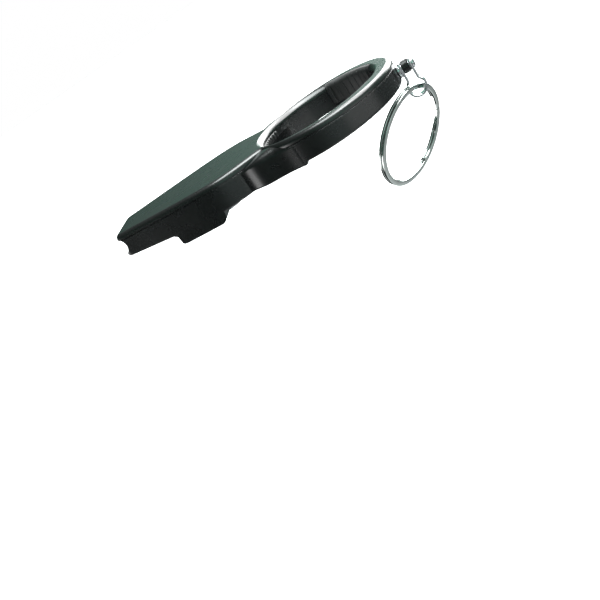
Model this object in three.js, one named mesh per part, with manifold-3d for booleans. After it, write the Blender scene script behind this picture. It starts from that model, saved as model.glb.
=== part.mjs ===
// Keychain bottle opener: two moulded shells, a stamped crown-cap tooth, three
// ribbed grip pads, screws, and a swivelling strap clip that carries a split ring.
// Millimetres, +X towards the key ring, +Z out of the top face.
import * as THREE from "three";
import * as BufferGeometryUtils from "three/addons/utils/BufferGeometryUtils.js";
import Module from "manifold-3d";

const wasm = await Module();
wasm.setup();

// ---- driving dimensions ----
const RING_R = 21.8;            // outside radius of the ring end
const HOLE_R = 18.0;            // grip hole radius
const HOLE_X = -1.9;            // grip hole centre, set back to thicken the end wall
const TAIL_X = -70.5;           // square-cut tail
const HANDLE = [                // half-widths of the handle, neck to tail
  [-20.3, 11.7], [-24, 13.2], [-29, 15.0], [-34.5, 15.75], [-42, 14.8],
  [-50, 13.1], [-58, 11.1], [-64, 9.5], [-69.3, 8.2]];
const TOP_FILLET = 1.3;         // outer edge of the cover
const RIM_FILLET = 1.4;         // rim of the grip hole
const BASE_FILLET = 0.7;        // lower edge of ring and handle
const SEAM_Z = -1.85;           // parting plane between the two shells
const SEAM_GAP = 0.05;
const RUNNING = 0.15;           // clearance round parts that turn
const FIT = 0.1;                // clearance round parts that are fixed
const FAR = 60;                 // beyond every face of the part
const RING_Z = -7.5;            // underside of the ring, level with its centre
const RING_RISE = 0.025;        // how fast that underside climbs towards the key ring
const TAIL_Z = -7.2;            // underside at the tail
const HANDLE_Z = -8.2;          // underside where the handle meets the block
const SEAT_Z = -8.6;            // rim of the cap-seat housing
const BLOCK_Z = -11.7;          // underside of the tooth block
const BLOCK_X = [-52.6, -36.2];
const SEAT_END_X = -7.9;        // step where the housing ends below the ring
// Shoulders round the cap seat; their top climbs to meet the ring's rim.
const LOBE = { x0: -27.0, x1: -12, half: 16.4, r: 3.6, top: -1.9, climb: 0.12 };
const CAP = { x: -21.0, r: 14.75, ceiling: -3.7 };
const GROOVE = { z: -3.65, r: 2.55, depth: 2.0 };
const PLATE = { x0: -50.6, x1: -33.2, half: 8.5, z0: -10.7, z1: -9.2 };
const SCREWS = [                // name, x, y, seat level of the head
  ["screw_tail_left", -61, 5.2, -6.3],
  ["screw_tail_right", -61, -5.2, -6.3],
  ["screw_block_left", -46, 5.6, -10.7],
  ["screw_block_right", -46, -5.6, -10.7],
  ["screw_ring_left", 17.75, 6.2, -5.5],
  ["screw_ring_right", 17.75, -6.2, -5.5]];
const SCREW = {
  head: 1.75, headH: 0.95, edge: 0.35, shank: 0.9, clear: 0.25, tipZ: -1.2, boss: 2.6,
  recess: { long: 1.1, wide: 0.22, deep: 0.55 } };
const TRAY = { wall: 1.9, floor: -6.3, x0: -65.6, x1: -37.5, ribX: -54.5, rib: 1.0 };
const PADS = [                  // name, centre angle, half angle, ribs, lower and upper edge
  ["grip_pad_rear", 180, 31, 11, -3.65, -1.95],
  ["grip_pad_left", 53.5, 29.5, 8, -6.3, -0.08],
  ["grip_pad_right", -53.5, 29.5, 8, -6.3, -0.08]];
const PAD = { back: 19.4, face: 17.5, rib: 0.42, reach: 1.6, gap: 0.12 };
const STUD = {                  // turns captive between the shells; its end is riveted over the clip
  z: -4.15, r: 1.1, flangeR: 2.3, backX: 16.6, flangeX: [17.6, 18.6], tipX: 26.95, headR: 1.5 };
const WASHER = { x0: 21.85, r: 2.2 };
const BARREL = { r: 2.15, gap: 0.1 };
const CLIP = {                  // leaves at x0 and x1, bow below them
  x0: 22.8, x1: 25.7, t: 0.6, half: 1.4, top: -1.9, bowX: 24.25, bowZ: -10.4, bowR: 2.56 };
const KEY = {                   // split ring: centre, the way it faces, radii, wire, turns of its coil
  c: [15.95, 0, -21.15], n: [0.649, -0.573, -0.501], rOut: 14.5, rIn: 13.0, t: 0.7, pitch: 0.92,
  turns: 1.95, cross: 0.12, startAngle: 1.2 };
// The row frame's origin is on the cap-seat ceiling.
const ORIGIN = [-27.5, 0, CAP.ceiling];

// ---- materials ----
const mat = (color, roughness, metalness) =>
  new THREE.MeshStandardMaterial({ color, roughness, metalness });
const blackPlastic = mat(0x17191a, 0.38, 0);
const ribPlastic = mat(0x222425, 0.5, 0);
const steel = mat(0xb9bcc0, 0.3, 1);
const chrome = mat(0xd9dce0, 0.12, 1);
const blackSteel = mat(0x1c1c1e, 0.35, 1);

// ---- solids ----
const lathe = (points, n) => new THREE.LatheGeometry(points.map(([r, z]) => new THREE.Vector2(r, z)), n);
function toSolid(geometry) {
  const g = geometry.clone();
  g.deleteAttribute("normal");
  g.deleteAttribute("uv");
  const m = BufferGeometryUtils.mergeVertices(g, 1e-5);
  return new wasm.Manifold(new wasm.Mesh({
    numProp: 3,
    vertProperties: new Float32Array(m.attributes.position.array),
    triVerts: new Uint32Array(m.index.array)
  }));
}
function toGeometry(solid) {
  const m = solid.getMesh();
  const g = new THREE.BufferGeometry();
  g.setAttribute("position", new THREE.BufferAttribute(Float32Array.from(m.vertProperties), 3));
  g.setIndex(new THREE.BufferAttribute(Uint32Array.from(m.triVerts), 1));
  g.computeVertexNormals();
  return g;
}
// Sample a path once, dropping doubled points so the extrusion closes.
function distinct(path, n) {
  const kept = [];
  for (const p of path.getPoints(n))
    if (!kept.length || p.distanceTo(kept[kept.length - 1]) > 0.8) kept.push(p);
  if (kept[0].distanceTo(kept[kept.length - 1]) < 0.5) kept.pop();
  return kept;
}
const sampled = (shape, n) => new THREE.Shape(distinct(shape, n));
const slab = (shape, z0, z1, segments = 12) => {
  const g = new THREE.ExtrudeGeometry(sampled(shape, segments), { depth: z1 - z0, bevelEnabled: false });
  return toSolid(g.translate(0, 0, z0));
};
function roundedPlate(shape, z0, z1, r, segments, bevels) {
  const g = new THREE.ExtrudeGeometry(sampled(shape, segments), {
    depth: z1 - z0 - 2 * r, bevelEnabled: true,
    bevelThickness: r, bevelSize: r, bevelOffset: -r, bevelSegments: bevels });
  return g.translate(0, 0, z0 + r);
}
const roundedSlab = (...plate) => toSolid(roundedPlate(...plate));
// Tilt the upper or the lower face of a plate about a line across the body.
function tilted(geometry, isTilted, atX, slope) {
  const p = geometry.attributes.position;
  for (let i = 0; i < p.count; i++)
    if (isTilted(p.getZ(i))) p.setZ(i, p.getZ(i) + slope * (p.getX(i) - atX));
  return toSolid(geometry);
}
const box = (x0, x1, y0, y1, z0, z1) => toSolid(
  new THREE.BoxGeometry(x1 - x0, y1 - y0, z1 - z0).translate((x0 + x1) / 2, (y0 + y1) / 2, (z0 + z1) / 2));
const pillar = (x, y, r, z0, z1, n = 18) => toSolid(
  new THREE.CylinderGeometry(r, r, z1 - z0, n).rotateX(Math.PI / 2).translate(x, y, (z0 + z1) / 2));
const axle = (y, z, r, x0, x1, n = 20) => toSolid(
  new THREE.CylinderGeometry(r, r, x1 - x0, n).rotateZ(Math.PI / 2).translate((x0 + x1) / 2, y, z));
// Everything between two stations along the body, or between two levels.
const between = (x0, x1) => box(x0, x1, -FAR, FAR, -FAR, FAR);
const levels = (z0, z1) => box(-2 * FAR, FAR, -FAR, FAR, z0, z1);
// Extrude a side view (x, z) right across the body.
const sideView = (shape) => toSolid(
  new THREE.ExtrudeGeometry(shape, { depth: FAR, bevelEnabled: false, curveSegments: 6 })
    .rotateX(Math.PI / 2).translate(0, FAR / 2, 0));

// ---- plan outlines ----
function bodyOutline(inset = 0) {
  const s = new THREE.Shape();
  const neck = Math.acos(-18.7 / RING_R);
  const side = HANDLE.map(([x, w]) => new THREE.Vector2(x, w - inset));
  const tail = TAIL_X + inset;
  const start = new THREE.Vector2(RING_R - inset, 0);
  s.moveTo(start.x, start.y);
  s.absarc(0, 0, RING_R - inset, 0, neck, false);
  s.splineThru(side);
  const w = side[side.length - 1].y;
  s.quadraticCurveTo(tail, w - 0.2, tail, w - 1.6);
  s.lineTo(tail, -(w - 1.6));
  s.quadraticCurveTo(tail, -(w - 0.2), side[side.length - 1].x, -w);
  s.splineThru(side.slice(0, -1).reverse().map((p) => new THREE.Vector2(p.x, -p.y)));
  s.absarc(0, 0, RING_R - inset, -neck, 0, false);
  return s;
}
// Cutter for the grip hole, flared at the top so the rim comes out rounded.
function holeCutter() {
  const rim = [];
  for (let i = 0; i <= 3; i++) {
    const a = (Math.PI / 2) * (i / 3);
    rim.push([HOLE_R + RIM_FILLET * (1 - Math.cos(a)), RIM_FILLET * (Math.sin(a) - 1)]);
  }
  const profile = [[0, -FAR], [HOLE_R, -FAR], ...rim, [HOLE_R + RIM_FILLET, FAR], [0, FAR]];
  return toSolid(lathe(profile, 72).rotateX(Math.PI / 2).translate(HOLE_X, 0, 0));
}
function lobeOutline() {
  const { x0, x1, half, r } = LOBE;
  const s = new THREE.Shape();
  s.moveTo(x0, 0);
  s.lineTo(x0, half - r);
  s.quadraticCurveTo(x0, half, x0 + r, half);
  s.bezierCurveTo(x0 + 6, half + 0.3, x1 - 4, half + 0.6, x1, half + 1.7);
  s.lineTo(x1, -half - 1.7);
  s.bezierCurveTo(x1 - 4, -half - 0.6, x0 + 6, -half - 0.3, x0 + r, -half);
  s.quadraticCurveTo(x0, -half, x0, -half + r);
  return s;
}

// ---- upper shell: the flat cover with the rounded rim ----
function upperShell() {
  let solid = roundedSlab(bodyOutline(), RING_Z, 0, TOP_FILLET, 16, 3)
    .intersect(levels(SEAM_Z, FAR)).subtract(holeCutter());
  for (const [, x, y] of SCREWS)
    solid = solid.subtract(pillar(x, y, SCREW.shank + FIT, -FAR, SCREW.tipZ + 2 * FIT));
  for (const [, angle, half, , zLow, zTop] of PADS)
    if (zTop > SEAM_Z) solid = solid.subtract(padPocket(angle, half, zLow));
  return solid;
}

// ---- lower shell: ring underside, handle tray, cap-seat housing and tooth block ----
function lowerShell() {
  const top = SEAM_Z - SEAM_GAP;
  const seatStart = BLOCK_X[1] - 1;
  const plate = (z) => roundedPlate(bodyOutline(), z, 2, BASE_FILLET, 16, 1);
  const ring = tilted(plate(RING_Z), (z) => z < top, 0, RING_RISE).intersect(between(seatStart, FAR));
  const handle = toSolid(plate(HANDLE_Z)).intersect(between(-2 * FAR, BLOCK_X[1])).subtract(tailWedge());
  const seat = toSolid(plate(SEAT_Z)).intersect(between(seatStart, SEAT_END_X));
  const block = roundedSlab(bodyOutline(0.25), BLOCK_Z, 2, 0.9, 16, 2).intersect(blockEnvelope());
  let solid = ring.add(handle).add(seat).add(block).intersect(levels(-FAR, top)).add(shoulders(top));
  solid = solid.subtract(pillar(HOLE_X, 0, HOLE_R, -FAR, FAR, 72));
  solid = solid.subtract(pillar(CAP.x, 0, CAP.r, -FAR, CAP.ceiling, 60));
  solid = solid.subtract(tray()).subtract(tailGroove()).subtract(platePocket()).subtract(studPocket());
  for (const [, x, y, seatZ] of SCREWS) {
    solid = solid.subtract(pillar(x, y, SCREW.head + SCREW.clear, -FAR, seatZ));
    solid = solid.subtract(pillar(x, y, SCREW.shank + 2 * FIT, -FAR, FAR));
  }
  for (const [, angle, half, , zLow] of PADS) solid = solid.subtract(padPocket(angle, half, zLow));
  return solid;
}
// Open towards the cap seat, so that the tooth reaches over it.
function platePocket() {
  const half = PLATE.half + FIT;
  return box(PLATE.x0 - FIT, BLOCK_X[1] + 3, -half, half, PLATE.z0 - 2, PLATE.z1 + SEAM_GAP);
}
// Bearing for the stud and its flange, open upwards for assembly.
function studPocket() {
  const [f0, f1] = STUD.flangeX;
  const back = STUD.backX - RUNNING;
  const bore = STUD.r + RUNNING;
  const wide = STUD.flangeR + RUNNING + SEAM_GAP;
  return axle(0, STUD.z, bore, back, FAR)
    .add(box(back, f1, -bore, bore, STUD.z, 0))
    .add(axle(0, STUD.z, wide, f0 - RUNNING, f1 + RUNNING))
    .add(box(f0 - RUNNING, f1 + RUNNING, -wide, wide, STUD.z, 0));
}
// The shoulders stand outside the cover, with a fine gap to its edge.
function shoulders(top) {
  const lobes = roundedPlate(lobeOutline(), SEAT_Z, LOBE.top, 0.8, 8, 2);
  return tilted(lobes, (z) => z > -5, LOBE.x0, LOBE.climb)
    .subtract(slab(bodyOutline(-0.12), top, FAR, 16));
}
function tailWedge() {
  const s = new THREE.Shape();
  s.moveTo(-75, TAIL_Z - 0.35);
  s.lineTo(BLOCK_X[0], HANDLE_Z);
  s.lineTo(-75, HANDLE_Z - 4);
  return sideView(s);
}
function blockEnvelope() {
  const [x0, x1] = BLOCK_X;
  const s = new THREE.Shape();
  s.moveTo(x0, BLOCK_Z + 0.6);
  s.quadraticCurveTo(x0 + 0.1, BLOCK_Z, x0 + 0.9, BLOCK_Z);
  s.lineTo(x1 - 3.4, BLOCK_Z);
  s.bezierCurveTo(x1 - 1.6, BLOCK_Z, x1 - 0.4, BLOCK_Z + 0.9, x1, SEAT_Z);
  s.lineTo(x1, -3);
  s.lineTo(x0 - 0.5, -3);
  s.lineTo(x0 - 0.5, HANDLE_Z + 0.4);
  s.quadraticCurveTo(x0, HANDLE_Z, x0, HANDLE_Z - 0.7);
  return sideView(s);
}
function tailGroove() {
  const reach = GROOVE.r - GROOVE.depth;
  return toSolid(new THREE.CylinderGeometry(GROOVE.r, GROOVE.r, FAR, 32)
    .translate(TAIL_X - reach, 0, GROOVE.z));
}
// Hollow of the handle, with bosses round the screws and two crossing ribs left standing.
function tray() {
  const { wall, floor, x0, x1, ribX, rib } = TRAY;
  let hollow = slab(bodyOutline(wall), floor, 2, 10).intersect(between(x0, x1));
  for (const [, x, y] of SCREWS) hollow = hollow.subtract(pillar(x, y, SCREW.boss, -FAR, FAR));
  return hollow.subtract(between(ribX - rib / 2, ribX + rib / 2))
    .subtract(box(x0, x1, -rib / 2, rib / 2, -FAR, FAR));
}
function arcSector(rIn, rOut, angle, half, z0, z1, n = 20) {
  const a = THREE.MathUtils.degToRad(angle);
  const h = THREE.MathUtils.degToRad(half);
  const s = new THREE.Shape();
  s.absarc(HOLE_X, 0, rOut, a - h, a + h, false);
  s.absarc(HOLE_X, 0, rIn, a + h, a - h, true);
  return slab(s, z0, z1, n);
}
const padPocket = (angle, half, zLow) =>
  arcSector(PAD.face - 2, PAD.back + PAD.gap, angle, half + 0.5, zLow - PAD.gap, SEAM_Z + 4);
function gripPad(angle, half, ribs, zLow, zTop) {
  const profile = new THREE.CylinderGeometry(PAD.rib, PAD.rib, zTop - zLow, 8)
    .rotateX(Math.PI / 2).scale(PAD.reach, 1, 1).translate(PAD.face, 0, (zTop + zLow) / 2);
  let solid = arcSector(PAD.face, PAD.back, angle, half, zLow, zTop);
  for (let i = 0; i < ribs; i++) {
    const a = THREE.MathUtils.degToRad(angle - half + (2 * half * (i + 0.5)) / ribs);
    solid = solid.add(toSolid(profile.clone().rotateZ(a).translate(HOLE_X, 0, 0)));
  }
  return solid;
}

// ---- steel tooth ----
function lifterPlate() {
  const { x0, x1, half, z0, z1 } = PLATE;
  const s = new THREE.Shape();
  s.moveTo(x0, -half);
  s.lineTo(BLOCK_X[1], -half);
  s.lineTo(x1, -half + 2.2);
  s.bezierCurveTo(x1 + 0.9, -half + 5, x1 + 0.9, half - 5, x1, half - 2.2);
  s.lineTo(BLOCK_X[1], half);
  s.lineTo(x0, half);
  let solid = slab(s, z0, z1, 8);
  for (const [name, x, y] of SCREWS)
    if (name.includes("block"))
      solid = solid.subtract(pillar(x, y, SCREW.shank + 2 * FIT, -FAR, FAR, 16));
  return solid;
}

// ---- fasteners and stud ----
function screw(x, y, seatZ) {
  const { head, headH, edge, shank, tipZ, recess } = SCREW;
  const face = seatZ - headH;
  const under = seatZ - SEAM_GAP;
  const profile = [[0, face], [head - edge, face], [head, face + edge],
    [head, under], [shank, under], [shank, tipZ - 0.7], [0, tipZ]];
  let solid = toSolid(lathe(profile, 16).rotateX(Math.PI / 2).translate(x, y, 0));
  for (const [dx, dy] of [[recess.long, recess.wide], [recess.wide, recess.long]])
    solid = solid.subtract(box(x - dx, x + dx, y - dy, y + dy, face - 1, face + recess.deep));
  return solid;
}
function swivelStud() {
  const { z, r, flangeR, backX, flangeX, tipX, headR } = STUD;
  const [f0, f1] = flangeX;
  const rivetX = CLIP.x1 + CLIP.t / 2 + 0.08;
  const profile = [[0, backX], [r, backX], [r, f0], [flangeR, f0], [flangeR, f1], [r, f1],
    [r, rivetX], [headR, rivetX], [headR, tipX - 0.5], [headR - 0.45, tipX], [0, tipX]];
  return toSolid(lathe(profile, 20).rotateZ(-Math.PI / 2).translate(0, 0, z));
}
// A tube that runs on the stud.
function sleeve(x0, x1, rOut) {
  const s = new THREE.Shape();
  s.absarc(0, 0, rOut, 0, 2 * Math.PI, false);
  const h = new THREE.Path();
  h.absarc(0, 0, STUD.r + RUNNING, 0, 2 * Math.PI, true);
  s.holes.push(h);
  const g = new THREE.ExtrudeGeometry(s, { depth: x1 - x0, bevelEnabled: false, curveSegments: 14 });
  return toSolid(g.rotateY(Math.PI / 2).translate(x0, 0, STUD.z));
}

// ---- strap clip: two leaves that open into a round bow ----
function clipProfile(offset) {
  const { x0, x1, bowX, bowZ, bowR, top } = CLIP;
  const r = bowR + offset;
  const hx = (x1 - x0) / 2 + offset;
  const opening = Math.asin(Math.min(1, hx / r));
  const steps = 28;
  const pts = [[bowX - hx, top]];
  for (let i = 0; i <= steps; i++) {
    const a = Math.PI / 2 + opening + ((2 * Math.PI - 2 * opening) * i) / steps;
    pts.push([bowX + r * Math.cos(a), bowZ + r * Math.sin(a)]);
  }
  pts.push([bowX + hx, top]);
  return pts;
}
function swivelClip() {
  const outer = clipProfile(CLIP.t / 2);
  const inner = clipProfile(-CLIP.t / 2).reverse();
  const s = new THREE.Shape([...outer, ...inner].map(([x, z]) => new THREE.Vector2(x, z)));
  const g = new THREE.ExtrudeGeometry(s, { depth: 2 * CLIP.half, bevelEnabled: false });
  const strip = toSolid(g.rotateX(Math.PI / 2).translate(0, CLIP.half, 0));
  return strip.subtract(axle(0, STUD.z, STUD.r + RUNNING, 0, FAR));
}

// ---- split ring: one flat wire, two turns with a crossover ----
function splitRing() {
  const { rOut, rIn, t, pitch, turns, cross } = KEY;
  const steps = 110;
  const pos = [];
  const idx = [];
  for (let i = 0; i <= steps; i++) {
    const u = (turns * i) / steps;
    const k = THREE.MathUtils.smoothstep(u, 0.97 - cross, 0.97);
    const z = (k - 0.5) * pitch;
    const a = 2 * Math.PI * u;
    for (const [r, dz] of [[rIn, -t / 2], [rOut, -t / 2], [rOut, t / 2], [rIn, t / 2]])
      pos.push(r * Math.cos(a), r * Math.sin(a), z + dz);
  }
  for (let a = 0; a < 4 * steps; a++) {
    const b = a % 4 === 3 ? a - 3 : a + 1;
    idx.push(a, b + 4, b, a, a + 4, b + 4);
  }
  idx.push(0, 1, 2, 0, 2, 3);
  const e = 4 * steps;
  idx.push(e, e + 2, e + 1, e, e + 3, e + 2);
  const g = new THREE.BufferGeometry();
  g.setAttribute("position", new THREE.Float32BufferAttribute(pos, 3));
  g.setIndex(idx);
  const n = new THREE.Vector3(...KEY.n).normalize();
  g.rotateZ(KEY.startAngle);
  g.applyQuaternion(new THREE.Quaternion().setFromUnitVectors(new THREE.Vector3(0, 0, 1), n));
  return g.translate(...KEY.c);
}

// ---- assembly ----
const group = new THREE.Group();
group.name = "keychain_bottle_opener";
function put(name, shape, material) {
  const g = shape.isBufferGeometry ? shape : toGeometry(shape);
  g.translate(-ORIGIN[0], -ORIGIN[1], -ORIGIN[2]);
  const mesh = new THREE.Mesh(g, material);
  mesh.name = name;
  group.add(mesh);
}
put("upper_shell", upperShell(), blackPlastic);
put("lower_shell", lowerShell(), blackPlastic);
put("lifter_plate", lifterPlate(), steel);
for (const [name, ...pad] of PADS) put(name, gripPad(...pad), ribPlastic);
for (const [name, ...at] of SCREWS) put(name, screw(...at), steel);
const leaf = CLIP.t / 2;
put("swivel_stud", swivelStud(), chrome);
put("stud_washer", sleeve(WASHER.x0, CLIP.x0 - leaf - SEAM_GAP, WASHER.r), chrome);
const barrelEnds = [CLIP.x0 + leaf + BARREL.gap, CLIP.x1 - leaf - BARREL.gap];
put("swivel_barrel", sleeve(...barrelEnds, BARREL.r), blackSteel);
put("swivel_clip", swivelClip(), chrome);
put("split_key_ring", splitRing(), steel);

export default group;
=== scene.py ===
"""Keychain bottle opener: the finished surface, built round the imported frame."""

import math

import bmesh
import bpy
import numpy as np
from mathutils import Matrix, Vector


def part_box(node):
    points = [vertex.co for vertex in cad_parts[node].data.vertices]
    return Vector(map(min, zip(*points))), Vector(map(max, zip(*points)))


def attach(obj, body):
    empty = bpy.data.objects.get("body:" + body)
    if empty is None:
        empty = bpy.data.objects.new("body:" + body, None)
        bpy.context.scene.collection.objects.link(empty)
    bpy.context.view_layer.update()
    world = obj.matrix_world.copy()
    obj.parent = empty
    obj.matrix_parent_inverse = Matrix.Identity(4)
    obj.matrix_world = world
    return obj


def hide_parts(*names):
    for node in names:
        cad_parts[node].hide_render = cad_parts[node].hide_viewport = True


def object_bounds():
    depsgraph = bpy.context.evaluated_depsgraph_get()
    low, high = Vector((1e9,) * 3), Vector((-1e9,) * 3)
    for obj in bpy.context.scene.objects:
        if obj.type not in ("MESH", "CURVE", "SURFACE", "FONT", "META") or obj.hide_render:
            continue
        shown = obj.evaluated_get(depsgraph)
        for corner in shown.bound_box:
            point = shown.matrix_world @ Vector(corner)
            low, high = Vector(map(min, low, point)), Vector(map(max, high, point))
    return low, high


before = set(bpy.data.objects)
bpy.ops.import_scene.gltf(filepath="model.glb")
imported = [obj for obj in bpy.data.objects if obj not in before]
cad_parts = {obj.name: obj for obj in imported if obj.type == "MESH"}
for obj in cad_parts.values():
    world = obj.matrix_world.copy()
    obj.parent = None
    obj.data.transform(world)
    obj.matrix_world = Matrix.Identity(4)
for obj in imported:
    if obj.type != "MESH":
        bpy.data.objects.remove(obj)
cad_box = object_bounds()

# ---- driving dimensions, millimetres, measured from the ring's centre and the top face ----
RING_R = 21.8
HOLE_R = 18.0
HOLE_X = -1.9
TAIL_X = -70.5
TAIL_R = 1.9
HANDLE = ((-20.3, 11.7), (-24, 13.2), (-29, 15.0), (-34.5, 15.75), (-42, 14.8),
          (-50, 13.1), (-58, 11.1), (-64, 9.5), (-69.3, 8.2))
TOP_FILLET = 1.35
RIM_FILLET = 1.5
SEAM_Z = -1.85
SEAM_GAP = 0.06
RING_Z = -7.5
RING_RISE = 0.025
TAIL_Z = -7.2
HANDLE_Z = -8.2
SEAT_Z = -8.6
BLOCK_Z = -11.7
BLOCK_X = (-52.6, -36.2)
SEAT_X = (-37.2, -7.9)
CAP_X, CAP_R, CAP_CEILING = -21.0, 14.75, -3.7
STUD_Z = -4.15

MM = 0.001
RING_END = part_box("upper_shell")[1]
ORIGIN = Vector((RING_END.x / MM - RING_R, 0, RING_END.z / MM))


def place(x, y, z):
    """A point in metres, in the row frame, from the millimetres used above."""
    return (Vector((x, y, z)) + ORIGIN) * MM


# ---- meshes ----
def new_object(name, verts, faces):
    mesh = bpy.data.meshes.new(name)
    mesh.from_pydata([place(*v) for v in verts], [], faces)
    mesh.validate()
    obj = bpy.data.objects.new(name, mesh)
    bpy.context.scene.collection.objects.link(obj)
    return obj


def rungs(ring):
    """Faces across a mirror-symmetric loop that starts on the axis, so that a cap may bend along x."""
    x = [p[0] for p in ring]
    n, half = len(ring), len(ring) // 2
    first = max(1, *(j for j in range(half) if x[j] > x[0] - 0.02))
    last = min(j for j in range(half) if x[j] < x[half] + 0.02)
    ends = [tuple(j % n for j in range(-first, first + 1)), tuple(range(last, n - last + 1))]
    return ends + [(j, n - j, n - j - 1, j + 1) for j in range(first, last)]


def loft(name, rings, closed=False, bent=False):
    """A skin through rings of equally many points, capped at both ends unless it closes on itself."""
    n = len(rings[0])
    verts = [tuple(p) for ring in rings for p in ring]
    faces = []
    spans = len(rings) if closed else len(rings) - 1
    for i in range(spans):
        a, b = i * n, (i + 1) % len(rings) * n
        for j in range(n):
            k = (j + 1) % n
            faces.append((a + j, a + k, b + k, b + j))
    if not closed:
        cap = rungs(rings[0]) if bent else [tuple(range(n))]
        faces += cap + [tuple(j + (len(rings) - 1) * n for j in face) for face in cap]
    return new_object(name, verts, faces)


def facing_out(obj):
    bm = bmesh.new()
    bm.from_mesh(obj.data)
    bmesh.ops.remove_doubles(bm, verts=bm.verts, dist=2e-7)
    bmesh.ops.recalc_face_normals(bm, faces=bm.faces)
    bm.to_mesh(obj.data)
    bm.free()
    return obj


def without_slivers(obj):
    """Merges the near-coincident points and the split flat faces that the cuts leave behind."""
    bm = bmesh.new()
    bm.from_mesh(obj.data)
    bmesh.ops.remove_doubles(bm, verts=bm.verts, dist=0.02 * MM)
    bmesh.ops.dissolve_degenerate(bm, edges=bm.edges, dist=0.01 * MM)
    bmesh.ops.dissolve_limit(bm, angle_limit=math.radians(0.05), verts=bm.verts, edges=bm.edges)
    bm.to_mesh(obj.data)
    bm.free()
    return obj


def combine(obj, other, operation):
    """Joins or cuts obj with other, and drops other."""
    facing_out(obj)
    facing_out(other)
    modifier = obj.modifiers.new("combine", "BOOLEAN")
    modifier.operation = operation
    modifier.solver = "MANIFOLD"
    modifier.object = other
    depsgraph = bpy.context.evaluated_depsgraph_get()
    mesh = bpy.data.meshes.new_from_object(obj.evaluated_get(depsgraph))
    obj.modifiers.clear()
    obj.data = mesh
    bpy.data.objects.remove(other)
    return obj


def add(obj, *others):
    for other in others:
        combine(obj, other, "UNION")
    return obj


def cut(obj, *others):
    for other in others:
        combine(obj, other, "DIFFERENCE")
    return obj


def keep(obj, *others):
    for other in others:
        combine(obj, other, "INTERSECT")
    return obj


def finish_piece(obj, body, material, nodes, angle=32, weighted=True):
    """Smooth shading with crisp edges, the material, and the body the piece rides on."""
    facing_out(without_slivers(obj))
    obj.data.shade_smooth()
    obj.data.set_sharp_from_angle(angle=math.radians(angle))
    obj.data.materials.clear()
    obj.data.materials.append(material)
    if weighted:
        modifier = obj.modifiers.new("flat faces stay flat", "WEIGHTED_NORMAL")
        modifier.keep_sharp = True
    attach(obj, body)
    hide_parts(*nodes)
    return obj


# ---- plan curves ----
def catmull(points, per_span):
    """Uniform Catmull-Rom curve through 2-D points."""
    p = np.array([points[0], *points, points[-1]], float)
    out = []
    for i in range(1, len(p) - 2):
        for t in np.arange(per_span) / per_span:
            a, b, c, d = p[i - 1:i + 3]
            out.append(0.5 * (2 * b + (c - a) * t + (2 * a - 5 * b + 4 * c - d) * t ** 2
                              + (3 * b - a - 3 * c + d) * t ** 3))
    return np.array([*out, p[-1]])


def resample(points, step, closed=True):
    """Points at equal steps along a polyline."""
    loop = np.vstack([points, points[:1]]) if closed else np.asarray(points)
    length = np.concatenate([[0], np.cumsum(np.linalg.norm(np.diff(loop, axis=0), axis=1))])
    count = max(8, int(round(length[-1] / step)))
    at = np.linspace(0, length[-1], count, endpoint=not closed)
    return np.column_stack([np.interp(at, length, loop[:, k]) for k in range(loop.shape[1])])


def soften(points, passes):
    """Rounds the corners of a closed, evenly stepped loop a little."""
    p = np.array(points, float)
    for _ in range(passes):
        p = 0.25 * np.roll(p, 1, axis=0) + 0.5 * p + 0.25 * np.roll(p, -1, axis=0)
    return p


def inset(points, distance):
    """The loop moved inwards along its normals, by one distance or one for each point; it runs counter-clockwise."""
    along = np.roll(points, -1, axis=0) - np.roll(points, 1, axis=0)
    along /= np.linalg.norm(along, axis=1)[:, None]
    return points + np.reshape(distance, (-1, 1)) * np.column_stack([-along[:, 1], along[:, 0]])


def arc(cx, cy, r, a0, a1, n):
    a = np.radians(np.linspace(a0, a1, n))
    return np.column_stack([cx + r * np.cos(a), cy + r * np.sin(a)])


def body_outline(step=0.45):
    """Ring end, neck, leaf-shaped handle and square tail, counter-clockwise."""
    neck = math.degrees(math.acos(-18.7 / RING_R))
    side = catmull([tuple(arc(0, 0, RING_R, neck, neck, 1)[0]), *HANDLE], 10)
    corner = arc(TAIL_X + TAIL_R, HANDLE[-1][1] - TAIL_R + 0.15, TAIL_R, 100, 180, 9)
    half = np.vstack([arc(0, 0, RING_R, 0, neck, 60), side[1:-1], corner])
    mirrored = half[::-1] * (1, -1)
    loop = resample(np.vstack([half, mirrored[:-1]]), step)
    return soften(loop, 2)


OUTLINE = body_outline()


def lobe_outline():
    """Shoulders that widen the neck round the cap seat; the front end lies inside the ring wall."""
    flank = catmull([(-8.2, 19.2), (-8.8, 19.9), (-10.4, 19.25), (-12.6, 18.3), (-15, 17.6), (-17.6, 17.2),
                     (-19.8, 16.95), (-21.6, 16.5), (-23.1, 15.85), (-24.4, 15.1), (-25.6, 14.55),
                     (-27, 14.2), (-29.5, 13.4)], 8)
    half = np.vstack([(-8.1, 0), (-8.1, 18.8), flank, (-30, 12.9), (-30, 0)])
    return soften(resample(np.vstack([half, half[-2:0:-1] * (1, -1)]), 0.35), 3)


def with_z(points, z):
    return [(x, y, z) for x, y in points]


def slab(name, outline, z0, z1, r0=0.0, r1=0.0, steps=6, bent=False):
    """A plate with rounded lower (r0) and upper (r1) edges."""
    rings = []
    for i in range(steps + 1 if r0 else 1):
        a = math.pi / 2 * i / steps
        rings.append(with_z(inset(outline, r0 * (1 - math.sin(a))), z0 + r0 * (1 - math.cos(a))))
    for i in range(steps + 1 if r1 else 1):
        a = math.pi / 2 * i / steps
        rings.append(with_z(inset(outline, r1 * (1 - math.cos(a))), z1 - r1 * (1 - math.sin(a))))
    return loft(name, rings, bent=bent)


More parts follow.
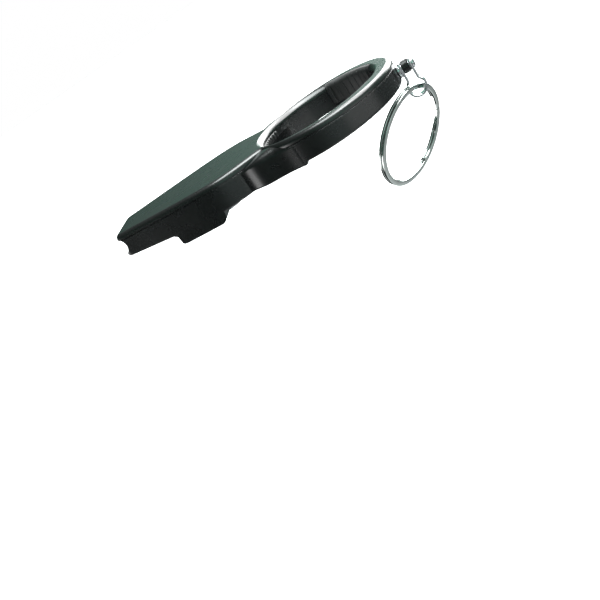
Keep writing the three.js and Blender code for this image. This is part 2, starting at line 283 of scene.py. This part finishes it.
def turned(name, profile, x=0.0, y=0.0, segments=128):
    """A solid of revolution about a vertical axis, from (radius, height) pairs with the ends off the axis."""
    rings = []
    for r, z in profile:
        angles = np.linspace(0, 2 * math.pi, segments, endpoint=False)
        rings.append([(x + r * math.cos(a), y + r * math.sin(a), z) for a in angles])
    return loft(name, rings)


def turned_along_x(name, profile, segments=64):
    """A solid of revolution about the stud's axis, from (x, radius) pairs."""
    rings = []
    for x, r in profile:
        angles = np.linspace(0, 2 * math.pi, segments, endpoint=False)
        rings.append([(x, r * math.cos(a), STUD_Z + r * math.sin(a)) for a in angles])
    return loft(name, rings)


def side_profile(name, points, half_width):
    """A profile in the long vertical plane, carried across the body."""
    return loft(name, [[(x, y, z) for x, z in points] for y in (-half_width, half_width)])


def side_profile_box(name, x0, x1, y0, y1, z0, z1):
    corners = [(x0, z0), (x1, z0), (x1, z1), (x0, z1)]
    return loft(name, [[(x, y, z) for x, z in corners] for y in (y0, y1)])


# ---- materials ----
def principled(name, colour, roughness, metallic=0.0, ior=1.45):
    material = bpy.data.materials.new(name)
    material.use_nodes = True
    shader = material.node_tree.nodes["Principled BSDF"]
    shader.inputs["Base Color"].default_value = (*colour, 1)
    shader.inputs["Roughness"].default_value = roughness
    shader.inputs["Metallic"].default_value = metallic
    shader.inputs["IOR"].default_value = ior
    return material, material.node_tree, shader


def grain(tree, shader, scale, strength, distance, stretch=(1, 1, 1), detail=3.0):
    """Fine relief from object-space noise."""
    nodes, links = tree.nodes, tree.links
    where = nodes.new("ShaderNodeTexCoord")
    mapping = nodes.new("ShaderNodeMapping")
    mapping.inputs["Scale"].default_value = stretch
    noise = nodes.new("ShaderNodeTexNoise")
    noise.inputs["Scale"].default_value = scale
    noise.inputs["Detail"].default_value = detail
    bump = nodes.new("ShaderNodeBump")
    bump.inputs["Strength"].default_value = strength
    bump.inputs["Distance"].default_value = distance
    links.new(where.outputs["Object"], mapping.inputs["Vector"])
    links.new(mapping.outputs["Vector"], noise.inputs["Vector"])
    links.new(noise.outputs["Fac"], bump.inputs["Height"])
    links.new(bump.outputs["Normal"], shader.inputs["Normal"])
    return noise


def varied_roughness(tree, shader, scale, low, high):
    """Roughness that wanders a little, as on handled plastic."""
    nodes, links = tree.nodes, tree.links
    where = nodes.new("ShaderNodeTexCoord")
    noise = nodes.new("ShaderNodeTexNoise")
    noise.inputs["Scale"].default_value = scale
    noise.inputs["Detail"].default_value = 4
    spread = nodes.new("ShaderNodeMapRange")
    spread.inputs["From Min"].default_value = 0.3
    spread.inputs["From Max"].default_value = 0.7
    spread.inputs["To Min"].default_value = low
    spread.inputs["To Max"].default_value = high
    links.new(where.outputs["Object"], noise.inputs["Vector"])
    links.new(noise.outputs["Fac"], spread.inputs["Value"])
    links.new(spread.outputs["Result"], shader.inputs["Roughness"])


def satin_plastic(name, colour, low, high, relief):
    material, tree, shader = principled(name, colour, (low + high) / 2, ior=1.75)
    grain(tree, shader, 2600, relief, 0.00003)
    varied_roughness(tree, shader, 160, low, high)
    return material


def brushed(name, colour, roughness, stretch):
    material, tree, shader = principled(name, colour, roughness, metallic=1.0)
    grain(tree, shader, 900, 0.25, 0.00002, stretch)
    varied_roughness(tree, shader, 500, roughness - 0.06, roughness + 0.1)
    return material


def polished(name, colour, roughness):
    material, tree, shader = principled(name, colour, roughness, metallic=1.0)
    grain(tree, shader, 700, 0.06, 0.00003)
    return material


COVER = satin_plastic("satin black cover", (0.0024, 0.0032, 0.0030), 0.26, 0.29, 0.02)
HOUSING = satin_plastic("satin black housing", (0.0020, 0.0026, 0.0026), 0.26, 0.29, 0.015)
RIBS = satin_plastic("matt black ribs", (0.0026, 0.0030, 0.0030), 0.5, 0.58, 0.06)
TOOTH = brushed("stamped steel", (0.56, 0.57, 0.59), 0.3, (1, 14, 1))
ZINC = brushed("zinc plated", (0.55, 0.56, 0.58), 0.28, (6, 6, 1))
CHROME = polished("chrome", (0.80, 0.81, 0.83), 0.07)
NICKEL = polished("nickel", (0.70, 0.74, 0.72), 0.09)
BLACK_METAL = principled("black plated", (0.006, 0.007, 0.007), 0.25, metallic=0.3)[0]


# ---- shells ----
def hole_cutter(rim):
    """The grip hole, with a crowned bevel of this width round its top unless it is 0."""
    profile = [(HOLE_R + 0.1, -20), (HOLE_R + 0.1, RING_Z), (HOLE_R, RING_Z + 0.1)]
    if rim:
        flattest, steepest = math.radians(68), math.radians(30)
        radius = rim / (math.cos(steepest) - math.cos(flattest))
        profile += [(HOLE_R + radius * (math.cos(steepest) - math.cos(a)), radius * (math.sin(a) - math.sin(flattest)))
                    for a in np.linspace(steepest, flattest, 11)]
        profile.append((HOLE_R + rim, 4))
    else:
        profile.append((HOLE_R, 4))
    return turned("grip hole", profile, HOLE_X, 0, 192)


def bearing():
    """Pocket between the two shells in which the stud's flanged end turns."""
    return turned_along_x("bearing", [(16.48, 1.22), (17.48, 1.22), (17.48, 2.42), (18.72, 2.42), (18.72, 1.22),
                                      (RING_R + 2, 1.22)])


def cover():
    """Flat top moulding with a rounded rim outside and round the grip hole."""
    lip = 0.12
    rings = [with_z(inset(OUTLINE, lip), SEAM_Z), with_z(OUTLINE, SEAM_Z + lip)]
    for i in range(11):
        a = math.pi / 2 * i / 10
        rings.append(with_z(inset(OUTLINE, TOP_FILLET * (1 - math.cos(a))),
                            -TOP_FILLET * (1 - math.sin(a))))
    solid = cut(loft("cover", rings), hole_cutter(RIM_FILLET), bearing())
    for _, angle, half, _, low, high in PADS:
        if high > SEAM_Z:
            cut(solid, sector("pad pocket", PAD_FACE - 2, PAD_BACK + 0.12, angle, half + 0.5, low, 3))
    return solid


def underside(x):
    """Height of the housing's flat underside, from the thin tail to the ring."""
    step, ring_z = 1.1, RING_Z + RING_RISE * x
    heights = [(-80, TAIL_Z + 0.5), (BLOCK_X[0], HANDLE_Z), (SEAT_X[0], HANDLE_Z), (SEAT_X[0] + step, SEAT_Z),
               (SEAT_X[1] - step, SEAT_Z), (SEAT_X[1], ring_z), (30, ring_z)]
    return float(np.interp(x, *zip(*heights)))


def block_envelope():
    """Side view of the tooth block: steep rounded back, straight foot, broad rounded front."""
    x0, x1 = BLOCK_X
    back = [(x0 + 1.3 * (1 - math.cos(a)), BLOCK_Z + 1.3 * (1 - math.sin(a)))
            for a in np.linspace(0, math.pi / 2, 7)]
    reach, rise = 3.2, 2.8
    front = [(x1 - reach * (1 - math.sin(a)), BLOCK_Z + rise * (1 - math.cos(a)))
             for a in np.linspace(0, math.pi / 2, 10)]
    root = [(x0 - 0.9 * (1 - math.sin(a)), HANDLE_Z - 0.9 * (1 - math.cos(a)))
            for a in np.linspace(0, math.pi / 2, 5)]
    return side_profile("block envelope", [(x0 - 0.9, -2.6), *root, *back, *front, (x1, -2.6)], 40)


def groove():
    """Round groove across the tail, for lifting a can's tab."""
    radius, depth, mid = 2.55, 2.0, -3.65
    centre = TAIL_X - (radius - depth)
    points = [(centre + radius * math.cos(a), mid + radius * math.sin(a))
              for a in np.linspace(0, 2 * math.pi, 48, endpoint=False)]
    return side_profile("tab groove", points, 20)


def moved(obj, change):
    """Moves the vertices of a piece; change gives the new height from x and z in millimetres."""
    for vertex in obj.data.vertices:
        x, _, z = vertex.co / MM - ORIGIN
        vertex.co.z = place(0, 0, change(x, z)).z
    return obj


def shoulder_rise(x):
    """How far the shoulders' top climbs towards the ring's rim."""
    t = min(max((x + 25.6) / 12.0, 0), 1)
    return 1.78 * math.sin(t * math.pi / 2)


def shoulders(top):
    """Shoulders round the cap seat, standing outside the cover with a fine gap to its edge."""
    outline = lobe_outline()
    level = SEAM_Z + np.array([shoulder_rise(x) for x, _ in outline])
    radius = 0.9 + 0.2 * np.clip(outline[:, 0] + 24, 0, 9)
    rings = []
    for a in np.linspace(0, math.pi / 2, 6):
        rings.append(with_z(inset(outline, 0.8 * (1 - math.sin(a))), SEAT_Z + 0.03 + 0.8 * (1 - math.cos(a))))
    for a in np.linspace(0, math.pi / 2, 12):
        plan = inset(outline, radius * (1 - math.cos(a)))
        rings.append(np.column_stack([plan, level - radius * (1 - math.sin(a))]))
    solid = loft("shoulders", rings, bent=True)
    return cut(solid, slab("cover gap", inset(OUTLINE, -0.14), top, 5))


def housing():
    """Lower moulding: ring wall, handle, cap-seat housing with shoulders, and the tooth block."""
    top = SEAM_Z - SEAM_GAP
    lip = 0.12
    base = slab("housing", OUTLINE, RING_Z, top, 0.75, lip, bent=True)
    moved(base, lambda x, z: z - RING_Z + underside(x) if z < -4 else z)
    foot = keep(slab("foot", inset(OUTLINE, 0.06), BLOCK_Z, top - 2.4, 0.9), block_envelope())
    add(base, foot, shoulders(top))
    cut(base, hole_cutter(0), bearing(), cap_pocket(), groove(), tooth_pocket())
    for name, x, y, seat_z in SCREWS:
        if "block" not in name:
            cut(base, turned("recess", [(2.0, -20), (2.0, seat_z)], x, y, 40))
    for _, angle, half, _, low, _ in PADS:
        cut(base, sector("pad pocket", PAD_FACE - 2, PAD_BACK + 0.12, angle, half + 0.5, low - 0.12, 3))
    return base


def cap_pocket():
    flare = 0.4
    profile = [(CAP_R + flare, -20), (CAP_R + flare, SEAT_Z), (CAP_R, SEAT_Z + flare), (CAP_R, CAP_CEILING)]
    return turned("cap pocket", profile, CAP_X, 0, 160)


PLATE = {"x0": -50.6, "x1": -33.2, "half": 8.5, "z0": -10.7, "z1": -9.2}


def tooth_pocket():
    p = PLATE
    return side_profile_box("plate pocket", p["x0"] - 0.1, BLOCK_X[1] + 3, -p["half"] - 0.1, p["half"] + 0.1,
                            p["z0"] - 3, p["z1"] + 0.05)


# ---- grip pads ----
PADS = (("grip_pad_rear", 180, 31, 11, -3.65, -1.95), ("grip_pad_left", 53.5, 29.5, 8, -6.3, -0.08),
        ("grip_pad_right", -53.5, 29.5, 8, -6.3, -0.08))
REAR_PAD = {"reach": 0.6, "half_width": 0.42, "edge": 0.25, "feather": 0.5}
SIDE_PAD = {"reach": 0.27, "half_width": 0.22, "edge": 1.5, "feather": 10}
PAD_FACE = 17.5
PAD_BACK = 19.4


def sector_edge(inner, outer, angle, half, feather=0.0):
    """Plan outline of an arc-shaped block about the grip hole's axis, its face easing back at the ends."""
    turn = np.linspace(half, -half, 60)
    ease = np.clip((abs(turn) - half) / max(feather, 1e-6) + 1, 0, 1)
    r = inner + (HOLE_R - 0.05 - PAD_FACE) * ease ** 2 * (3 - 2 * ease) * (feather > 0)
    r = np.minimum(r, outer - 0.1)
    a = np.radians(angle + turn)
    face = np.column_stack([HOLE_X + r * np.cos(a), r * np.sin(a)])
    return np.vstack([arc(HOLE_X, 0, outer, angle - half, angle + half, 60), face])


def sector(name, inner, outer, angle, half, z0, z1):
    edge = sector_edge(inner, outer, angle, half)
    return loft(name, [with_z(edge, z0), with_z(edge, z1)])


def rib(angle, low, high, reach, half_width):
    """An upright rib with a rounded nose and rounded ends."""
    a = math.radians(angle)
    rings = []
    for z, size in ((low, 0.55), (low + 0.12, 0.85), (low + 0.35, 1), (high - 0.4, 1), (high - 0.15, 0.85), (high, 0.5)):
        ring = []
        for t in np.linspace(-math.pi / 2, math.pi / 2, 13):
            inward, across = PAD_FACE + 0.1 - reach * size * math.cos(t), half_width * math.sin(t)
            ring.append((HOLE_X + inward * math.cos(a) - across * math.sin(a),
                         inward * math.sin(a) + across * math.cos(a), z))
        rings.append(ring)
    return loft("rib", rings)


def grip_pad(angle, half, ribs, low, high):
    """A curved strip with upright ribs on its face."""
    form = REAR_PAD if angle == 180 else SIDE_PAD
    edge, feather = form["edge"], form["feather"]
    rings = [with_z(sector_edge(PAD_FACE, PAD_BACK, angle, half, feather), low)]
    for a in np.linspace(0, math.pi / 2, 9):
        face = sector_edge(PAD_FACE + edge * (1 - math.cos(a)), PAD_BACK, angle, half, feather)
        rings.append(with_z(face, high - edge * (1 - math.sin(a))))
    pad = loft("grip_pad", rings)
    for i in range(ribs):
        at = angle - half + 2 * half * (i + 0.5) / ribs
        add(pad, rib(at, low + 0.1, min(high, -0.5), form["reach"], form["half_width"]))
    return pad


# ---- metal ----
SCREWS = (("screw_tail_left", -61, 5.2, -6.3), ("screw_tail_right", -61, -5.2, -6.3),
          ("screw_block_left", -46, 5.6, -10.7), ("screw_block_right", -46, -5.6, -10.7),
          ("screw_ring_left", 17.75, 6.2, -5.5), ("screw_ring_right", 17.75, -6.2, -5.5))


def screw(x, y, seat_z):
    """Low pan head with a cross recess, on a plain shank."""
    r, h = 1.72, 0.92
    dome = [(r * math.sin(a), seat_z - h * (0.55 + 0.45 * math.cos(a))) for a in np.linspace(0.12, math.pi / 2, 8)]
    profile = [*dome, (r, seat_z - 0.08), (r - 0.06, seat_z - 0.02), (0.9, seat_z - 0.02), (0.9, -2.3), (0.4, -1.6)]
    solid = turned("screw", profile, x, y, 48)
    for wide, long in ((0.23, 1.0), (1.0, 0.23)):
        cut(solid, side_profile_box("recess", x - wide, x + wide, y - long, y + long, seat_z - 3, seat_z - 0.35))
    return solid


def tooth_plate():
    """Stamped plate with a bowed nose that catches the cap's skirt."""
    x0, x1, half = PLATE["x0"], PLATE["x1"], PLATE["half"]
    nose = catmull([(BLOCK_X[1], -half), (x1 - 0.4, -half + 1.6), (x1 + 0.28, -half + 4.4), (x1 + 0.45, 0),
                    (x1 + 0.28, half - 4.4), (x1 - 0.4, half - 1.6), (BLOCK_X[1], half)], 8)
    heel = [*arc(x0 + 0.8, half - 0.8, 0.8, 90, 180, 6), *arc(x0 + 0.8, -half + 0.8, 0.8, 180, 270, 6)]
    outline = resample(np.vstack([nose, heel]), 0.3)
    plate = slab("tooth_plate", outline, PLATE["z0"], PLATE["z1"], 0.28, 0.12, 4)
    for name, x, y, _ in SCREWS:
        if "block" in name:
            cut(plate, turned("hole", [(1.1, -20), (1.1, 0)], x, y, 32))
    return plate


CLIP = {"x0": 22.8, "x1": 25.7, "t": 0.6, "half": 1.4, "top": -1.9, "bow": (24.25, -10.4), "r": 2.56}


def clip_path():
    """Middle line of the folded strip: down one leaf, round the bow, up the other."""
    bx, bz = CLIP["bow"]
    hx, r = (CLIP["x1"] - CLIP["x0"]) / 2, CLIP["r"]
    opening = math.asin(hx / r)
    bow = [(bx + r * math.cos(a), bz + r * math.sin(a))
           for a in np.linspace(math.pi / 2 + opening, 2.5 * math.pi - opening, 60)]
    line = resample(np.array([(bx - hx, CLIP["top"]), *bow, (bx + hx, CLIP["top"])]), 0.12, closed=False)
    ends = line[[0, -1]].copy()
    for _ in range(10):
        line[1:-1] = 0.25 * line[:-2] + 0.5 * line[1:-1] + 0.25 * line[2:]
    line[[0, -1]] = ends
    return line


def rounded_section(half_w, half_t, r, n=4):
    corners = ((half_w - r, half_t - r, 0), (-half_w + r, half_t - r, 90),
               (-half_w + r, -half_t + r, 180), (half_w - r, -half_t + r, 270))
    return np.vstack([arc(cx, cy, r, a, a + 90, n) for cx, cy, a in corners])


def clip():
    """Folded strip with rounded leaf ends, straddling the barrel."""
    line = clip_path()
    along = np.gradient(line, axis=0)
    along /= np.linalg.norm(along, axis=1)[:, None]
    across = np.column_stack([-along[:, 1], along[:, 0]])
    travelled = np.concatenate([[0], np.cumsum(np.linalg.norm(np.diff(line, axis=0), axis=1))])
    to_end = np.minimum(travelled, travelled[-1] - travelled)
    rings = []
    for (x, z), (nx, nz), d in zip(line, across, to_end):
        half = CLIP["half"]
        if d < half:
            half *= math.sqrt(max(1 - (1 - d / half) ** 2, 0.06))
        section = rounded_section(half, CLIP["t"] / 2, min(0.16, half * 0.5))
        rings.append([(x + nx * v, u, z + nz * v) for u, v in section])
    strip = loft("clip", rings)
    return cut(strip, turned_along_x("hole", [(20, 1.25), (30, 1.25)], 40))


def stud():
    xs, tip, head = CLIP["x1"] + CLIP["t"] / 2 + 0.08, 26.95, 1.5
    dome = [(xs + 0.35 + (tip - xs - 0.35) * math.sin(a), head * math.cos(a) * 0.98 + 0.02)
            for a in np.linspace(0, 1.45, 9)]
    profile = [(16.6, 1.1), (17.6, 1.1), (17.6, 2.3), (18.6, 2.3), (18.6, 1.1), (xs, 1.1), (xs, head - 0.1),
               (xs + 0.1, head), *dome]
    return turned_along_x("stud", profile)


def sleeve(name, x0, x1, outer, inner, chamfer):
    """A tube round the stud's axis with chamfered outer edges."""
    angles = np.linspace(0, 2 * math.pi, 64, endpoint=False)
    profile = ((x0, inner), (x0, outer - chamfer), (x0 + chamfer, outer), (x1 - chamfer, outer),
               (x1, outer - chamfer), (x1, inner))
    rings = [[(x, r * math.cos(a), STUD_Z + r * math.sin(a)) for a in angles] for x, r in profile]
    return loft(name, rings, closed=True)


# The split ring: one flattened wire, nearly two turns, with a crossover.
KEY = {"centre": (15.95, 0, -21.15), "normal": (0.649, -0.573, -0.501), "outer": 14.5, "inner": 13.0,
       "t": 0.78, "pitch": 0.86, "turns": 1.95, "crossover": 0.12, "start": 1.2}


def split_ring():
    middle, half = (KEY["outer"] + KEY["inner"]) / 2, (KEY["outer"] - KEY["inner"]) / 2
    turn = Vector((0, 0, 1)).rotation_difference(Vector(KEY["normal"])).to_matrix()
    turn = turn @ Matrix.Rotation(KEY["start"], 3, "Z")
    rings = []
    for u in np.linspace(0, KEY["turns"], 420):
        k = np.clip((u - 0.97 + KEY["crossover"]) / KEY["crossover"], 0, 1)
        level = (k * k * (3 - 2 * k) - 0.5) * KEY["pitch"]
        to_end = min(u, KEY["turns"] - u) * 2 * math.pi * middle
        blunt = min(1.0, 0.72 + 0.28 * (to_end / 0.3) ** 0.5)
        a = 2 * math.pi * u
        ring = []
        for v, w in rounded_section(half * blunt, KEY["t"] / 2 * blunt, 0.26 * blunt, 5):
            p = turn @ Vector(((middle + v) * math.cos(a), (middle + v) * math.sin(a), level + w))
            ring.append(tuple(p + Vector(KEY["centre"])))
        rings.append(ring)
    return loft("split_ring", rings)


# ---- assembly ----
def build():
    finish_piece(cover(), "opener", COVER, ["upper_shell"], angle=40)
    finish_piece(housing(), "opener", HOUSING, ["lower_shell"], angle=36)
    finish_piece(tooth_plate(), "opener", TOOTH, ["lifter_plate"])
    for node, *pad in PADS:
        finish_piece(grip_pad(*pad), "opener", RIBS, [node], angle=40)
    for node, x, y, seat_z in SCREWS:
        finish_piece(screw(x, y, seat_z), "opener", ZINC, [node])
    washer_end = CLIP["x0"] - CLIP["t"] / 2 - 0.05
    finish_piece(sleeve("washer", 21.85, washer_end, 2.2, 1.25, 0.1), "opener", CHROME, ["stud_washer"])
    barrel = sleeve("barrel", CLIP["x0"] + 0.4, CLIP["x1"] - 0.4, 1.85, 1.25, 0.25)
    finish_piece(barrel, "barrel", BLACK_METAL, ["swivel_barrel"])
    finish_piece(stud(), "stud", CHROME, ["swivel_stud"])
    finish_piece(clip(), "clip", CHROME, ["swivel_clip"], angle=50)
    finish_piece(split_ring(), "key_ring", NICKEL, ["split_key_ring"], angle=50, weighted=False)


# ---- stage ----
def camera():
    """Low three-quarter view from the ring's side, rolled so the key ring hangs plumb."""
    azimuth, elevation, roll = (math.radians(v) for v in (17.38, 20.15, -35.48))
    back = Vector((math.sin(azimuth) * math.cos(elevation), -math.cos(azimuth) * math.cos(elevation),
                   math.sin(elevation)))
    data = bpy.data.cameras.new("camera")
    data.lens, data.sensor_width = 54.75, 36
    obj = bpy.data.objects.new("camera", data)
    bpy.context.scene.collection.objects.link(obj)
    level = (-back).to_track_quat("-Z", "Y").to_matrix()
    obj.matrix_world = (level @ Matrix.Rotation(roll, 3, "Z")).to_4x4()
    obj.location = place(39.7, -248.3, 47.6)
    data.clip_start, data.clip_end = 0.005, 20
    bpy.context.scene.camera = obj


def lamp(name, kind, direction, distance):
    """A lamp aimed at the object from a direction."""
    data = bpy.data.lights.new(name, kind)
    obj = bpy.data.objects.new(name, data)
    bpy.context.scene.collection.objects.link(obj)
    aim = Vector(direction).normalized()
    obj.location = aim * distance
    obj.rotation_euler = (-aim).to_track_quat("-Z", "Y").to_euler()
    obj.visible_camera = False
    return data


def panel(name, direction, distance, width, height, power):
    data = lamp(name, "AREA", direction, distance)
    data.shape = "RECTANGLE"
    data.size, data.size_y = width, height
    data.energy = power


def floor():
    verts = [(-4, -4, 0), (4, -4, 0), (4, 4, 0), (-4, 4, 0)]
    mesh = bpy.data.meshes.new("floor")
    mesh.from_pydata(verts, [], [(0, 1, 2, 3)])
    obj = bpy.data.objects.new("floor", mesh)
    bpy.context.scene.collection.objects.link(obj)
    obj.location.z = cad_box[0].z - 0.05
    mesh.materials.append(principled("pale floor", (0.9, 0.9, 0.9), 0.9)[0])
    obj.visible_glossy = False
    obj.visible_shadow = False


def ramp(nodes, links, value, stops):
    """Colours along -1 to 1."""
    spread = nodes.new("ShaderNodeMapRange")
    spread.inputs["From Min"].default_value = -1
    colours = nodes.new("ShaderNodeValToRGB")
    elements = colours.color_ramp.elements
    elements[0].color, elements[1].color = (*stops[0][1], 1), (*stops[-1][1], 1)
    for at, colour in stops[1:-1]:
        elements.new((at + 1) / 2).color = (*colour, 1)
    links.new(value, spread.inputs["Value"])
    links.new(spread.outputs["Result"], colours.inputs["Fac"])
    return colours.outputs["Color"]


def surround(nodes, links):
    """Reflected room: dim below the horizon and grey-green above it, brighter to the right."""
    where = nodes.new("ShaderNodeTexCoord")
    split = nodes.new("ShaderNodeSeparateXYZ")
    links.new(where.outputs["Generated"], split.inputs["Vector"])
    heights = ((-1, (0.16, 0.17, 0.17)), (-0.66, (0.1, 0.105, 0.105)), (-0.5, (0.03, 0.034, 0.034)),
               (-0.1, (0.07, 0.078, 0.078)),
               (0.05, (0.07, 0.145, 0.115)), (0.22, (0.075, 0.15, 0.12)), (0.5, (0.1, 0.115, 0.11)),
               (1, (0.16, 0.17, 0.17)))
    sides = ((-1, (0.15,) * 3), (-0.5, (0.12,) * 3), (-0.3, (0.3,) * 3),
             (-0.1, (0.7,) * 3), (0.2, (1.1,) * 3), (0.55, (0.6,) * 3), (1, (0.5,) * 3))
    product = nodes.new("ShaderNodeVectorMath")
    product.operation = "MULTIPLY"
    links.new(ramp(nodes, links, split.outputs["Z"], heights), product.inputs[0])
    links.new(ramp(nodes, links, split.outputs["X"], sides), product.inputs[1])
    return product.outputs["Vector"]


def studio():
    """Pale backdrop, with a dimmer surround for reflections, a soft key from above and a panel behind."""
    world = bpy.data.worlds.new("studio")
    bpy.context.scene.world = world
    world.use_nodes = True
    nodes, links = world.node_tree.nodes, world.node_tree.links
    room = nodes["Background"]
    links.new(surround(nodes, links), room.inputs["Color"])
    room.inputs["Strength"].default_value = 5
    backdrop = nodes.new("ShaderNodeBackground")
    backdrop.inputs["Color"].default_value = (1, 1, 1, 1)
    path = nodes.new("ShaderNodeLightPath")
    mix = nodes.new("ShaderNodeMixShader")
    links.new(path.outputs["Is Camera Ray"], mix.inputs["Fac"])
    links.new(room.outputs["Background"], mix.inputs[1])
    links.new(backdrop.outputs["Background"], mix.inputs[2])
    links.new(mix.outputs["Shader"], nodes["World Output"].inputs["Surface"])
    bpy.context.scene.view_settings.view_transform = "Standard"
    sun = lamp("key", "SUN", (0.07, -0.13, 0.99), 1)
    sun.energy, sun.angle = 3.4, math.radians(40)
    sun.color = (0.93, 1, 0.99)
    panel("left fill", (-0.94, -0.14, -0.3), 1.0, 0.5, 0.5, 2.0)
    panel("right fill", (0.8, -0.6, -0.15), 1.0, 1.0, 0.45, 0.8)
    panel("overhead", (0.45, 0.1, 0.9), 1.0, 0.9, 0.7, 14)
    panel("window", (0.36, 0.8, 0.48), 1.6, 1.3, 1.6, 59)


build()
camera()
floor()
studio()
